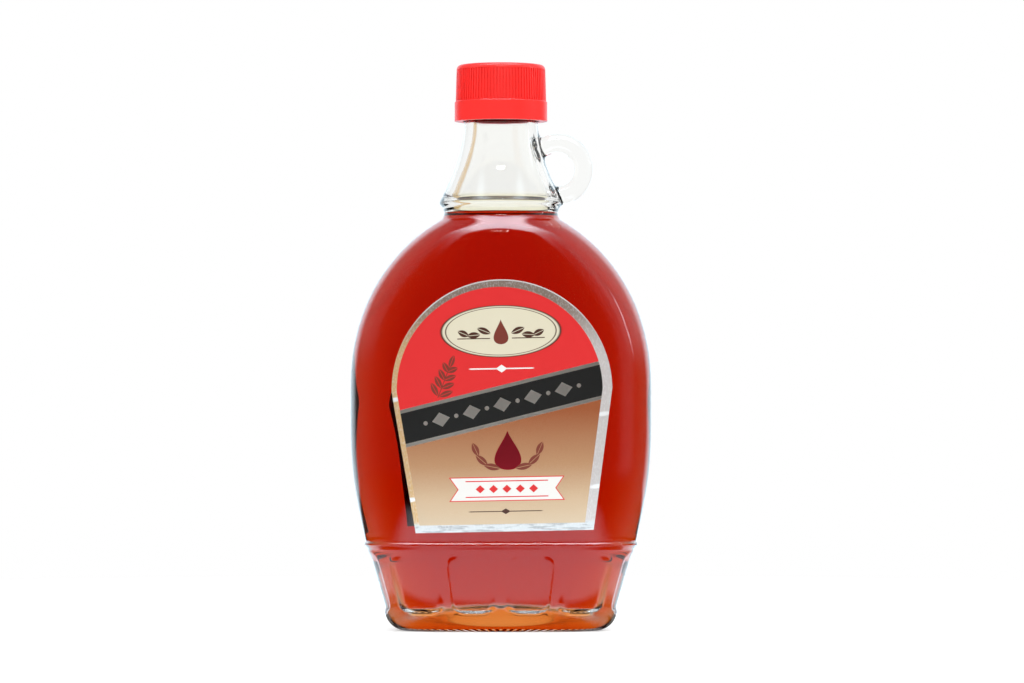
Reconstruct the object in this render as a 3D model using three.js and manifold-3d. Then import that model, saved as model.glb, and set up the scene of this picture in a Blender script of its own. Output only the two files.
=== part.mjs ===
// Glass flask of syrup: a flat oval bottle with a ring handle on its neck, fluted panels round its
// foot, a ribbed screw cap, syrup up to the foot of the neck, and an arched label front and back.
// Millimetres, +Z up. The origin is the middle of the base, the front label faces -Y and the
// ring handle is on the +X side.

import * as THREE from "three";
import { mergeVertices } from "three/addons/utils/BufferGeometryUtils.js";
import Module from "manifold-3d";

const wasm = await Module();
wasm.setup();

// Overall sizes
const TOTAL_HEIGHT = 189;
const BODY_WIDTH = 100.5;
const BODY_DEPTH = 48;
const BODY_SQUARENESS = 5; // exponent of the oval across: 2 is an ellipse, more has flatter faces
const SIDES = 44; // facets round the bottle

// Heights of the bottle's stretches
const PUSH_UP = 0.8;
const FOOT_BOTTOM = 6.4;
const FOOT_TOP = 27.1;
const RIDGE_HEIGHT = 28.8;
const FLANK_START = 29.9;
const BODY_START = 70;
const SHOULDER_START = 82;
const ROUNDING_START = 95; // from here up the oval turns round
const SHOULDER_MID = 123.8;
const BROW_HEIGHT = 132; // where the front rounds over towards the neck
const SHOULDER_END = 137.2;
const WAIST_HEIGHT = 139.3;
const BEAD_HEIGHT = 142.8;
const BEAD_BAND = 1.6;
const NECK_END = 169;
const FINISH_START = 172;
const MOUTH_HEIGHT = 187;

// Widths along those stretches
const PUSH_UP_WIDTH = 52;
const BEARING_WIDTH = 63;
const BEARING_RING = 2.4; // breadth of the ring that the bottle stands on
const HEEL_WIDTH = 72; // where the base starts to curve up into the heel
const HEEL_TOP_WIDTH = 76.6; // and where the heel starts to straighten into the foot
const FOOT_WIDTH = 78.2;
const FOOT_TOP_WIDTH = 89;
const RIDGE_WIDTH = 91.2;
const FLANK_START_WIDTH = 90.3;
const FLANK_WIDTH = 96.4; // where the flank starts to curve up
const SHOULDER_MID_WIDTH = 71.8;
const BROW_WIDTH = 55.2;
const WAIST_DIAMETER = 38;
const WAIST_HOLLOW = 1.9;
const BEAD_DIAMETER = 41;
const BEAD_ROUNDING = 0.6;
const NECK_FLARE = 34.1; // where the neck's flare starts to straighten
const NECK_DIAMETER = 24.8;
const FINISH_DIAMETER = 27.2;
const LIP_CHAMFER = 0.8;

// Depths that differ from the widths
const PUSH_UP_DEPTH = 13;
const BEARING_DEPTH = 22;
const HEEL_DEPTH = 30.5;
const HEEL_TOP_DEPTH = 35;
const FOOT_DEPTH = 36.5;
const FOOT_TOP_DEPTH = 43.4;
const RIDGE_DEPTH = 45;
const FLANK_START_DEPTH = 44;
const FLANK_DEPTH = 46.6;
const BROW_DEPTH = 46.8;

// How far each long curve runs on straight from its ends
const HEEL_RUN = 3.2;
const RIDGE_UNDER_RUN = 0.7;
const RIDGE_TOP_RUN = 0.7;
const FLANK_RUN_LOW = 14;
const FLANK_RUN_HIGH = 18;
const SHOULDER_RUN_LOW = 17.3;
const NECK_RUN_LOW = 6.6;
const NECK_RUN_HIGH = 9.4;

// How the shoulder's curve runs on through its middle and its brow: width lost, depth lost, rise
const SHOULDER_MID_SLOPE = [17, 0, 10.3];
const BROW_SLOPE = [4.9, 1, 2];
const SHOULDER_END_SLOPE = [5.3, 2, 1.5];

// Inside of the glass
const WALL = 3.4;
const NECK_WALL = 3;
const BASE_THICKNESS = 3.4;
const TROUGH_WIDTH = 43; // the floor inside is a shallow trough with a broad rim round it
const TROUGH_DEPTH = 6;
const RIM_WIDTH = 59;
const RIM_DEPTH = 12.4;
const RIM_HEIGHT = 8;
const WALL_FOOT_WIDTH = 69;
const WALL_FOOT_DEPTH = 31.3;
const WALL_FOOT_HEIGHT = 11.5;
const WALL_TOP_WIDTH = 80; // behind the ridge, where the glass is thickest at the sides
const WALL_TOP_DEPTH = 37.6;
const WALL_TOP_HEIGHT = 30;
const THROAT_DROP = 1.5; // the inside turns up into the neck this far below the outside

// Flutes pressed into the foot
const FLUTE_DEPTH_LOW = 1.3;
const FLUTE_DEPTH_HIGH = 0.7;
const FLUTE_BOTTOM = 6.8;
const FLUTE_TOP = 25.2;
const FLUTE_MIDDLES = [-29.4, -10.2, 10.2, 29.4];
const FLUTE_WIDTH = 15.4;
const SIDE_FLUTE_WIDTH = 22;
const FLUTE_CORNER = 3.2;

// Ring handle
const HANDLE_RADIUS = 8.8; // of the ring's centre line
const HANDLE_THICKNESS = 6.5;
const HANDLE_DEPTH = 7;
const HANDLE_REACH = 18.8; // from the neck's axis to the ring's centre
const HANDLE_HEIGHT = 154;

// Screw cap
const CAP_BOTTOM = 170.1;
const BAND_DIAMETER = 31;
const BAND_TOP = 176.4;
const BAND_CHAMFER = 0.6;
const RIB_COUNT = 90;
const RIB_DEPTH = 0.3;
const RIB_DIAMETER_LOW = 30.3;
const RIB_DIAMETER_HIGH = 29.7;
const CAP_TOP_DIAMETER = 27.4;
const CAP_ROUNDING = 1.4;
const CAP_BORE = 28;
const CAP_TOP_WALL = 1.6;

// Syrup
const FILL_LEVEL = WAIST_HEIGHT;
const SYRUP_GAP = 0.3; // between the syrup's solid and the glass

// Labels
const LABEL_RADIUS = 36.4; // of the arch
const LABEL_BOTTOM_WIDTH = 58.7;
const LABEL_ARCH_HEIGHT = 80.2; // where the arch springs
const LABEL_BOTTOM = 33.5;
const LABEL_SHIFT = 0.4; // the front label sits a little towards the handle
const BACK_LABEL_RADIUS = 31.5;
const BACK_LABEL_BOTTOM_WIDTH = 54.6;
const BACK_LABEL_ARCH_HEIGHT = 75;
const BACK_LABEL_BOTTOM = 36;
const BACK_LABEL_SHIFT = 0.9; // and the back label a little away from it
const LABEL_GAP = 0.2;
const LABEL_THICKNESS = 0.3;

// A section of the bottle: x is its half width, y its half depth and z its height.
function section(width, depth, height) {
  return new THREE.Vector3(width / 2, depth / 2, height);
}

function roundSection(diameter, height) {
  return section(diameter, diameter, height);
}

// A section further along a slope of width lost, depth lost and rise, or back along it.
function along(from, [width, depth, rise], share) {
  return from.clone().addScaledVector(new THREE.Vector3(-width / 2, -depth / 2, rise), share);
}

function line(from, to) {
  return new THREE.LineCurve3(from, to);
}

function bend(from, corner, to) {
  return new THREE.QuadraticBezierCurve3(from, corner, to);
}

function sweep(from, leaving, arriving, to) {
  return new THREE.CubicBezierCurve3(from, leaving, arriving, to);
}

// Sections along a chain of [curve, steps] pairs, each shared end taken once.
function sections(chain) {
  const start = chain[0][0].getPoint(0);
  return [start, ...chain.flatMap(([curve, steps]) => curve.getPoints(steps).slice(1))];
}

// The oval is squarest in the body and turns round through the shoulder.
function squareness(height) {
  const turned = THREE.MathUtils.smoothstep(height, ROUNDING_START, SHOULDER_END);
  return THREE.MathUtils.lerp(BODY_SQUARENESS, 2, turned);
}

// How far an oval of half width and half depth 1 reaches in the direction (c, s).
function ovalReach(c, s, power) {
  let low = 1;
  let high = Math.SQRT2;
  while (high - low > 1e-9) {
    const reach = (low + high) / 2;
    if (Math.abs(reach * c) ** power + (reach * s) ** 2 > 1) high = reach;
    else low = reach;
  }
  return low;
}

function ovalRing({ x: halfWidth, y: halfDepth, z: height }) {
  const power = squareness(height);
  return Array.from({ length: SIDES }, (_, i) => {
    const angle = (2 * Math.PI * i) / SIDES;
    const c = Math.cos(angle);
    const s = Math.sin(angle);
    const reach = ovalReach(c, s, power);
    return new THREE.Vector3(halfWidth * reach * c, halfDepth * reach * s, height);
  });
}

function geometryOf(points, triangles) {
  const geometry = new THREE.BufferGeometry().setFromPoints(points);
  return geometry.setIndex(triangles);
}

// A closed skin over rings of equal length, listed from bottom to top, with a fan over each end.
function loft(rings) {
  const count = rings[0].length;
  const points = rings.flat();
  const bottom = points.push(new THREE.Vector3(0, 0, rings[0][0].z)) - 1;
  const top = points.push(new THREE.Vector3(0, 0, rings.at(-1)[0].z)) - 1;
  const lastRing = (rings.length - 1) * count;
  const triangles = [];
  for (let i = 0; i < count; i++) {
    const next = (i + 1) % count;
    triangles.push(bottom, next, i, top, lastRing + i, lastRing + next);
    for (let row = 0; row < lastRing; row += count) {
      triangles.push(row + i, row + next, row + count + next);
      triangles.push(row + i, row + count + next, row + count + i);
    }
  }
  return geometryOf(points, triangles);
}

// A geometry as a solid that can be joined and cut.
function solidOf(geometry) {
  const bare = geometry.clone();
  bare.deleteAttribute("normal");
  bare.deleteAttribute("uv");
  const { index, attributes } = mergeVertices(bare);
  const triVerts = [];
  for (let i = 0; i < index.count; i += 3) {
    const corners = [index.getX(i), index.getX(i + 1), index.getX(i + 2)];
    if (new Set(corners).size === 3) triVerts.push(...corners);
  }
  const vertProperties = attributes.position.array;
  return new wasm.Manifold(
    new wasm.Mesh({ numProp: 3, vertProperties, triVerts: new Uint32Array(triVerts) }),
  );
}

function geometryFrom(solid) {
  const { vertProperties, triVerts } = solid.getMesh();
  const geometry = new THREE.BufferGeometry();
  geometry.setAttribute("position", new THREE.BufferAttribute(vertProperties, 3));
  return geometry.setIndex(new THREE.BufferAttribute(triVerts, 1)).toNonIndexed();
}

// Outside of the glass, from the base up to the mouth
const pushUpEdge = section(PUSH_UP_WIDTH, PUSH_UP_DEPTH, PUSH_UP);
const bearing = section(BEARING_WIDTH, BEARING_DEPTH, 0);
const bearingInner = section(BEARING_WIDTH - 2 * BEARING_RING, BEARING_DEPTH - 2 * BEARING_RING, 0);
const heelLow = section(HEEL_WIDTH, HEEL_DEPTH, 0);
const heelHigh = section(HEEL_TOP_WIDTH, HEEL_TOP_DEPTH, FOOT_BOTTOM - HEEL_RUN);
const footBottom = section(FOOT_WIDTH, FOOT_DEPTH, FOOT_BOTTOM);
const footTop = section(FOOT_TOP_WIDTH, FOOT_TOP_DEPTH, FOOT_TOP);
const ridgeUnder = section(FLANK_START_WIDTH, FLANK_START_DEPTH, FOOT_TOP + RIDGE_UNDER_RUN);
const ridgeCrest = section(RIDGE_WIDTH, RIDGE_DEPTH, RIDGE_HEIGHT);
const ridgeOver = section(RIDGE_WIDTH, RIDGE_DEPTH, RIDGE_HEIGHT + RIDGE_TOP_RUN);
const flankStart = section(FLANK_START_WIDTH, FLANK_START_DEPTH, FLANK_START);
const flankLow = section(FLANK_WIDTH, FLANK_DEPTH, FLANK_START + FLANK_RUN_LOW);
const flankHigh = section(BODY_WIDTH, BODY_DEPTH, BODY_START - FLANK_RUN_HIGH);
const bodyStart = section(BODY_WIDTH, BODY_DEPTH, BODY_START);
const shoulderStart = section(BODY_WIDTH, BODY_DEPTH, SHOULDER_START);
const shoulderLow = section(BODY_WIDTH, BODY_DEPTH, SHOULDER_START + SHOULDER_RUN_LOW);
const shoulderMid = section(SHOULDER_MID_WIDTH, BODY_DEPTH, SHOULDER_MID);
const brow = section(BROW_WIDTH, BROW_DEPTH, BROW_HEIGHT);
const shoulderEnd = roundSection(WAIST_DIAMETER + WAIST_HOLLOW, SHOULDER_END);
const waistTurn = roundSection(WAIST_DIAMETER, (SHOULDER_END + WAIST_HEIGHT) / 2);
const waist = roundSection(WAIST_DIAMETER, WAIST_HEIGHT);
const beadUnder = roundSection(BEAD_DIAMETER - BEAD_ROUNDING, BEAD_HEIGHT - BEAD_BAND / 2);
const bead = roundSection(BEAD_DIAMETER + BEAD_ROUNDING, BEAD_HEIGHT);
const neckStart = roundSection(BEAD_DIAMETER - BEAD_ROUNDING, BEAD_HEIGHT + BEAD_BAND / 2);
const neckLow = roundSection(NECK_FLARE, neckStart.z + NECK_RUN_LOW);
const neckHigh = roundSection(NECK_DIAMETER, NECK_END - NECK_RUN_HIGH);
const neckEnd = roundSection(NECK_DIAMETER, NECK_END);
const finishFoot = roundSection(NECK_DIAMETER, FINISH_START - LIP_CHAMFER);
const finishStart = roundSection(FINISH_DIAMETER, FINISH_START);
const lipEdge = roundSection(FINISH_DIAMETER, MOUTH_HEIGHT - LIP_CHAMFER);
const lipTop = roundSection(FINISH_DIAMETER - 2 * LIP_CHAMFER, MOUTH_HEIGHT);

// The shoulder is three curves that run on from one another: up from the body, round to the brow,
// and over it to the neck.
function shoulderCurves(start, low, mid, top, end) {
  return [
    [sweep(start, low, along(mid, SHOULDER_MID_SLOPE, -1), mid), 4],
    [sweep(mid, along(mid, SHOULDER_MID_SLOPE, 0.3), along(top, BROW_SLOPE, -1.2), top), 3],
    [sweep(top, along(top, BROW_SLOPE, 1), along(end, SHOULDER_END_SLOPE, -1), end), 3],
  ];
}

const outside = sections([
  [line(pushUpEdge, bearingInner), 1],
  [line(bearingInner, bearing), 1],
  [sweep(bearing, heelLow, heelHigh, footBottom), 4],
  [line(footBottom, footTop), 1],
  [bend(footTop, ridgeUnder, ridgeCrest), 2],
  [bend(ridgeCrest, ridgeOver, flankStart), 2],
  [sweep(flankStart, flankLow, flankHigh, bodyStart), 5],
  [line(bodyStart, shoulderStart), 1],
  ...shoulderCurves(shoulderStart, shoulderLow, shoulderMid, brow, shoulderEnd),
  [bend(shoulderEnd, waistTurn, waist), 2],
  [line(waist, beadUnder), 1],
  [bend(beadUnder, bead, neckStart), 2],
  [sweep(neckStart, neckLow, neckHigh, neckEnd), 6],
  [line(neckEnd, finishFoot), 1],
  [line(finishFoot, finishStart), 1],
  [line(finishStart, lipEdge), 1],
  [line(lipEdge, lipTop), 1],
]);

// The room inside the glass, from its floor up past the mouth, drawn in by the clearance given
function insideSections(clearance) {
  const within = (outer, wall, drop = 0) =>
    new THREE.Vector3(outer.x - wall - clearance, outer.y - wall - clearance, outer.z - drop);
  const inner = (width, depth, height) => within(section(width, depth, height + clearance), 0);
  const trough = inner(TROUGH_WIDTH, TROUGH_DEPTH, BASE_THICKNESS);
  const troughSide = inner(RIM_WIDTH, TROUGH_DEPTH, BASE_THICKNESS);
  const rim = inner(RIM_WIDTH, RIM_DEPTH, RIM_HEIGHT);
  const rimOver = inner(WALL_FOOT_WIDTH, WALL_FOOT_DEPTH, RIM_HEIGHT);
  const wallFoot = inner(WALL_FOOT_WIDTH, WALL_FOOT_DEPTH, WALL_FOOT_HEIGHT);
  const wallTop = within(section(WALL_TOP_WIDTH, WALL_TOP_DEPTH, WALL_TOP_HEIGHT), 0);
  const wallOut = wallTop.clone().lerp(within(flankLow, WALL), 0.9);
  const bodyInside = within(bodyStart, WALL);
  const throat = within(waist, NECK_WALL);
  const neckInside = within(neckStart, NECK_WALL + BEAD_BAND / 2);
  const neckTop = within(neckEnd, NECK_WALL);
  const [shoulderInside, low, mid, top, end] = [
    within(shoulderStart, WALL),
    within(shoulderLow, WALL),
    within(shoulderMid, WALL, THROAT_DROP),
    within(brow, WALL, THROAT_DROP),
    within(shoulderEnd, WALL, THROAT_DROP),
  ];
  return sections([
    [bend(trough, troughSide, rim), 2],
    [bend(rim, rimOver, wallFoot), 3],
    [line(wallFoot, wallTop), 1],
    [sweep(wallTop, wallOut, within(flankHigh, WALL), bodyInside), 3],
    [line(bodyInside, shoulderInside), 1],
    ...shoulderCurves(shoulderInside, low, mid, top, end),
    [bend(end, within(waistTurn, NECK_WALL), throat), 1],
    [line(throat, neckInside), 1],
    [sweep(neckInside, within(neckLow, NECK_WALL), within(neckHigh, NECK_WALL), neckTop), 5],
    [line(neckTop, within(neckEnd, NECK_WALL, NECK_END - TOTAL_HEIGHT)), 1],
  ]);
}

// One flute's outline, leaning in with the foot as it goes down.
function fluteOutline(middle, width) {
  const lean = FOOT_WIDTH / FOOT_TOP_WIDTH;
  const left = middle - width / 2;
  const right = middle + width / 2;
  const corners = [
    new THREE.Vector2(left * lean, FLUTE_BOTTOM),
    new THREE.Vector2(right * lean, FLUTE_BOTTOM),
    new THREE.Vector2(right, FLUTE_TOP),
    new THREE.Vector2(left, FLUTE_TOP),
  ];
  const shape = new THREE.Shape();
  corners.forEach((corner, i) => {
    const before = corners.at(i - 1).clone().sub(corner).setLength(FLUTE_CORNER).add(corner);
    const after = corners[(i + 1) % 4].clone().sub(corner).setLength(FLUTE_CORNER).add(corner);
    if (i === 0) shape.moveTo(before.x, before.y);
    else shape.lineTo(before.x, before.y);
    shape.quadraticCurveTo(corner.x, corner.y, after.x, after.y);
  });
  shape.closePath();
  return shape;
}

// A straight cutter through a flute's outline, facing the front and turned to its own side.
function fluteCutter(middle, width, turn) {
  const cutter = new THREE.ExtrudeGeometry(fluteOutline(middle, width), {
    depth: BODY_WIDTH,
    curveSegments: 3,
    bevelEnabled: false,
  });
  return solidOf(cutter.rotateX(Math.PI / 2).rotateZ(turn));
}

function flutes() {
  return [0, Math.PI].flatMap((turn) => [
    ...FLUTE_MIDDLES.map((middle) => fluteCutter(middle, FLUTE_WIDTH, turn)),
    fluteCutter(0, SIDE_FLUTE_WIDTH, turn + Math.PI / 2),
  ]);
}

// The foot with its skin taken off: what is left behind the flutes.
function fluteFloor() {
  const sunk = (from, depth) => from.clone().sub(new THREE.Vector3(depth, depth, 0));
  const low = sunk(footBottom, FLUTE_DEPTH_LOW);
  const high = sunk(footTop, FLUTE_DEPTH_HIGH);
  return solidOf(loft([ovalRing(low), ovalRing(high)]));
}

function handleRing() {
  const sidesOfRing = 8;
  const stepsRound = 30;
  const ring = new THREE.TorusGeometry(
    HANDLE_RADIUS,
    HANDLE_THICKNESS / 2,
    sidesOfRing,
    stepsRound,
  );
  ring.scale(1, 1, HANDLE_DEPTH / HANDLE_THICKNESS);
  return solidOf(ring.rotateX(Math.PI / 2).translate(HANDLE_REACH, 0, HANDLE_HEIGHT));
}

function bottleGlass() {
  const floor = fluteFloor();
  let glass = solidOf(loft(outside.map(ovalRing)));
  for (const cutter of flutes()) glass = glass.subtract(cutter.subtract(floor));
  const room = solidOf(loft(insideSections(0).map(ovalRing)));
  return geometryFrom(glass.add(handleRing()).subtract(room));
}

function syrup() {
  const filled = insideSections(SYRUP_GAP).filter(({ z }) => z <= FILL_LEVEL);
  return loft(filled.map(ovalRing));
}

// Ribs stand round the cap's side and run out on its rounded top edge.
function ribbedRing(diameter, height, ribDepth) {
  const points = 2 * RIB_COUNT;
  return Array.from({ length: points }, (_, i) => {
    const angle = (2 * Math.PI * i) / points;
    const radius = diameter / 2 - (i % 2) * ribDepth;
    return new THREE.Vector3(radius * Math.cos(angle), radius * Math.sin(angle), height);
  });
}

function screwCap() {
  const roundSteps = 48;
  const ribbed = solidOf(
    loft([
      ribbedRing(RIB_DIAMETER_LOW, BAND_TOP - BAND_CHAMFER, RIB_DEPTH),
      ribbedRing(RIB_DIAMETER_HIGH, TOTAL_HEIGHT - CAP_ROUNDING, RIB_DEPTH),
      ribbedRing(CAP_TOP_DIAMETER, TOTAL_HEIGHT, 0),
    ]),
  );
  const bandOutline = [
    new THREE.Vector2(0, CAP_BOTTOM),
    new THREE.Vector2(BAND_DIAMETER / 2, CAP_BOTTOM),
    new THREE.Vector2(BAND_DIAMETER / 2, BAND_TOP),
    new THREE.Vector2(RIB_DIAMETER_LOW / 2, BAND_TOP + BAND_CHAMFER),
    new THREE.Vector2(0, BAND_TOP + BAND_CHAMFER),
  ];
  const band = solidOf(new THREE.LatheGeometry(bandOutline, roundSteps).rotateX(Math.PI / 2));
  const boreTop = TOTAL_HEIGHT - CAP_TOP_WALL;
  const boreLength = TOTAL_HEIGHT - CAP_BOTTOM;
  const bore = new THREE.CylinderGeometry(CAP_BORE / 2, CAP_BORE / 2, boreLength, roundSteps);
  bore.rotateX(Math.PI / 2).translate(0, 0, boreTop - boreLength / 2);
  return geometryFrom(ribbed.add(band).subtract(solidOf(bore)));
}

// Half depth of the bottle's outside at a distance across from its middle and a height.
function halfDepthAt(across, height) {
  const above = outside.findIndex(({ z }) => z > height);
  const low = outside[above - 1];
  const share = (height - low.z) / (outside[above].z - low.z);
  const { x: halfWidth, y: halfDepth } = low.clone().lerp(outside[above], share);
  const power = squareness(height);
  return halfDepth * Math.sqrt(1 - (Math.abs(across) / halfWidth) ** power);
}

// Rows of an arched label, each with its height and half width: straight sides, then the arch.
function labelRows({ bottom, bottomWidth, spring, radius }) {
  const sideSteps = 5;
  const archSteps = 8;
  const archEnd = THREE.MathUtils.degToRad(86); // leaves a short flat at the crown
  const rows = [];
  for (let i = 0; i < sideSteps; i++) {
    const share = i / sideSteps;
    rows.push({
      height: THREE.MathUtils.lerp(bottom, spring, share),
      reach: THREE.MathUtils.lerp(bottomWidth / 2, radius, share),
    });
  }
  for (let i = 0; i <= archSteps; i++) {
    const angle = (archEnd * i) / archSteps;
    rows.push({
      height: spring + radius * Math.sin(angle),
      reach: radius * Math.cos(angle),
    });
  }
  return rows;
}

// A thin sheet that follows the front of the bottle.
function labelSheet(rows, shift) {
  const columns = 10;
  const width = columns + 1;
  const points = [];
  for (const offset of [LABEL_GAP + LABEL_THICKNESS, LABEL_GAP]) {
    for (const { height, reach } of rows) {
      for (let i = 0; i < width; i++) {
        const across = shift + reach * ((2 * i) / columns - 1);
        points.push(new THREE.Vector3(across, -halfDepthAt(across, height) - offset, height));
      }
    }
  }
  const behind = rows.length * width;
  const triangles = [];
  const quad = (a, b, c, d) => triangles.push(a, b, c, a, c, d);
  for (let row = 0; row < rows.length - 1; row++) {
    const start = row * width;
    for (let i = start; i < start + columns; i++) {
      quad(i, i + 1, i + 1 + width, i + width);
      quad(behind + i + 1, behind + i, behind + i + width, behind + i + 1 + width);
    }
    const end = start + columns;
    quad(start + width, behind + start + width, behind + start, start);
    quad(end, behind + end, behind + end + width, end + width);
  }
  const crown = (rows.length - 1) * width;
  for (let i = 0; i < columns; i++) {
    quad(behind + i, behind + i + 1, i + 1, i);
    quad(crown + i, crown + i + 1, behind + crown + i + 1, behind + crown + i);
  }
  return geometryOf(points, triangles);
}

function frontLabel() {
  const rows = labelRows({
    bottom: LABEL_BOTTOM,
    bottomWidth: LABEL_BOTTOM_WIDTH,
    spring: LABEL_ARCH_HEIGHT,
    radius: LABEL_RADIUS,
  });
  return labelSheet(rows, LABEL_SHIFT);
}

function backLabel() {
  const rows = labelRows({
    bottom: BACK_LABEL_BOTTOM,
    bottomWidth: BACK_LABEL_BOTTOM_WIDTH,
    spring: BACK_LABEL_ARCH_HEIGHT,
    radius: BACK_LABEL_RADIUS,
  });
  return labelSheet(rows, BACK_LABEL_SHIFT).rotateZ(Math.PI);
}

const materials = {
  clearGlass: new THREE.MeshStandardMaterial({
    color: 0xeef0ea,
    roughness: 0.05,
    metalness: 0,
    transparent: true,
    opacity: 0.35,
  }),
  amberSyrup: new THREE.MeshStandardMaterial({ color: 0xa81e08, roughness: 0.1, metalness: 0 }),
  redPlastic: new THREE.MeshStandardMaterial({ color: 0xf23a33, roughness: 0.4, metalness: 0 }),
  foilPaper: new THREE.MeshStandardMaterial({ color: 0xc9c4bd, roughness: 0.3, metalness: 0.8 }),
};

function piece(name, geometry, material) {
  const mesh = new THREE.Mesh(geometry, material);
  mesh.name = name;
  return mesh;
}

const bottle = new THREE.Group();
bottle.add(
  piece("bottle_glass", bottleGlass(), materials.clearGlass),
  piece("syrup", syrup(), materials.amberSyrup),
  piece("screw_cap", screwCap(), materials.redPlastic),
  piece("front_label", frontLabel(), materials.foilPaper),
  piece("back_label", backLabel(), materials.foilPaper),
);

export default bottle;
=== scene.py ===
# Glass flask of syrup: ring handle, ribbed red screw cap, foil labels front and back
import math

import bmesh
import bpy
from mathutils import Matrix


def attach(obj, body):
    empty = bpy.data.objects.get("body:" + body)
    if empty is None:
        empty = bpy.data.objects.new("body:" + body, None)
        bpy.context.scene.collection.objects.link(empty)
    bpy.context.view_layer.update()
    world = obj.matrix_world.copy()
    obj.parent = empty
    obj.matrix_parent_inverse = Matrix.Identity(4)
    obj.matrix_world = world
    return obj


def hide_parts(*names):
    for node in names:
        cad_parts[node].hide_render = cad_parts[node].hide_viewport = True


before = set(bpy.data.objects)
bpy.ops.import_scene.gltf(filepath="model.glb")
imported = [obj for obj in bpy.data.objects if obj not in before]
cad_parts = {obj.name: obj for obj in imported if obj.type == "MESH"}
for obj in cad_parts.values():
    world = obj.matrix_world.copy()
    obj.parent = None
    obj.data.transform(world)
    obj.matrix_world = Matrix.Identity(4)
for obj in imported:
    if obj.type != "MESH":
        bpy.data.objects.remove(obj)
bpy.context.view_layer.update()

mm = 0.001
print("frame loaded, nodes:", sorted(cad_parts))


# selecting, shaping and finishing pieces

def deselect():
    if bpy.context.object and bpy.context.object.mode != "OBJECT":
        bpy.ops.object.mode_set(mode="OBJECT")
    bpy.ops.object.select_all(action="DESELECT")


def pick(*pieces):
    deselect()
    for piece in pieces:
        piece.select_set(True)
    bpy.context.view_layer.objects.active = pieces[0]


def named(name):
    piece = bpy.context.object
    piece.name = name
    piece.data.name = name
    return piece


def selectInEdit(piece, part, test):
    # part is verts, edges or faces, and test takes one of them
    modes = {"verts": "VERT", "edges": "EDGE", "faces": "FACE"}
    bpy.ops.mesh.select_mode(type=modes[part])
    bpy.ops.mesh.select_all(action="DESELECT")
    mesh = bmesh.from_edit_mesh(piece.data)
    for item in getattr(mesh, part):
        if test(item):
            item.select_set(True)
    mesh.select_flush_mode()
    bmesh.update_edit_mesh(piece.data)


def applyModifier(piece, kind, **settings):
    pick(piece)
    modifier = piece.modifiers.new(kind.lower(), kind)
    for key, value in settings.items():
        setattr(modifier, key, value)
    bpy.ops.object.modifier_apply(modifier=modifier.name)


def applyPlace(piece):
    pick(piece)
    bpy.ops.object.transform_apply(location=True, rotation=True, scale=True)


def shadeSmooth(piece, angle=None):
    pick(piece)
    if angle is None:
        bpy.ops.object.shade_smooth()
    else:
        bpy.ops.object.shade_smooth_by_angle(angle=math.radians(angle))


def mount(piece, slot, *nodes):
    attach(piece, "root")
    if nodes:
        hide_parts(*nodes)


def dress(piece, material, slot, *nodes):
    piece.data.materials.clear()
    piece.data.materials.append(material)
    mount(piece, slot, *nodes)


def mix(a, b, share):
    return a + (b - a) * share


def smoothStep(low, high, value):
    share = min(max((value - low) / (high - low), 0.0), 1.0)
    return share * share * (3.0 - 2.0 * share)


def curvePoint(points, share):
    # a place on the smooth curve that 2, 3 or 4 control points draw
    while len(points) > 1:
        points = [tuple(mix(p, q, share) for p, q in zip(a, b)) for a, b in zip(points, points[1:])]
    return points[0]


# nodes for the materials

def newMaterial(name):
    material = bpy.data.materials.new(name)
    material.use_nodes = True
    return material, material.node_tree.nodes["Principled BSDF"]


def seeThrough(name, colour, ior):
    material, shader = newMaterial(name)
    shader.inputs["Base Color"].default_value = (*colour, 1)
    shader.inputs["Transmission Weight"].default_value = 1.0
    shader.inputs["IOR"].default_value = ior
    shader.inputs["Roughness"].default_value = 0.0
    return material, shader


def addNode(material, kind, **settings):
    node = material.node_tree.nodes.new("ShaderNode" + kind)
    for key, value in settings.items():
        setattr(node, key, value)
    return node


def feed(material, socket, value):
    # a socket takes another node's output, a number or a colour
    if isinstance(value, bpy.types.NodeSocket):
        material.node_tree.links.new(value, socket)
    elif isinstance(value, tuple):
        socket.default_value = (*value, 1.0)
    else:
        socket.default_value = value


def maths(material, operation, *values):
    node = addNode(material, "Math", operation=operation)
    for socket, value in zip(node.inputs, values):
        feed(material, socket, value)
    return node.outputs[0]


def colourMix(material, share, first, second):
    node = addNode(material, "Mix", data_type="RGBA")
    colours = [socket for socket in node.inputs if socket.type == "RGBA"]
    feed(material, node.inputs[0], share)
    feed(material, colours[0], first)
    feed(material, colours[1], second)
    return next(socket for socket in node.outputs if socket.type == "RGBA")


def ramp(material, value, stops):
    node = addNode(material, "ValToRGB")
    band = node.color_ramp
    while len(band.elements) < len(stops):
        band.elements.new(1.0)
    for element, (place, colour) in zip(band.elements, stops):
        element.position = place
        element.color = (*colour, 1.0)
    feed(material, node.inputs[0], value)
    return node.outputs[0]


def objectPlace(material):
    # Object coordinates in mm
    place = addNode(material, "TexCoord")
    split = addNode(material, "SeparateXYZ")
    feed(material, split.inputs[0], place.outputs["Object"])
    return [maths(material, "MULTIPLY", axis, 1000.0) for axis in split.outputs]


def objectNoise(material, scale, detail=2.0, stretch=(1.0, 1.0, 1.0)):
    place = addNode(material, "TexCoord")
    turn = addNode(material, "Mapping")
    turn.inputs["Scale"].default_value = stretch
    noise = addNode(material, "TexNoise")
    noise.inputs["Scale"].default_value = scale
    noise.inputs["Detail"].default_value = detail
    feed(material, turn.inputs["Vector"], place.outputs["Object"])
    feed(material, noise.inputs["Vector"], turn.outputs["Vector"])
    return noise.outputs[0]


def addBump(material, shader, height, strength, distance):
    bump = addNode(material, "Bump")
    bump.inputs["Strength"].default_value = strength
    bump.inputs["Distance"].default_value = distance
    feed(material, bump.inputs["Height"], height)
    feed(material, shader.inputs["Normal"], bump.outputs["Normal"])


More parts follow.
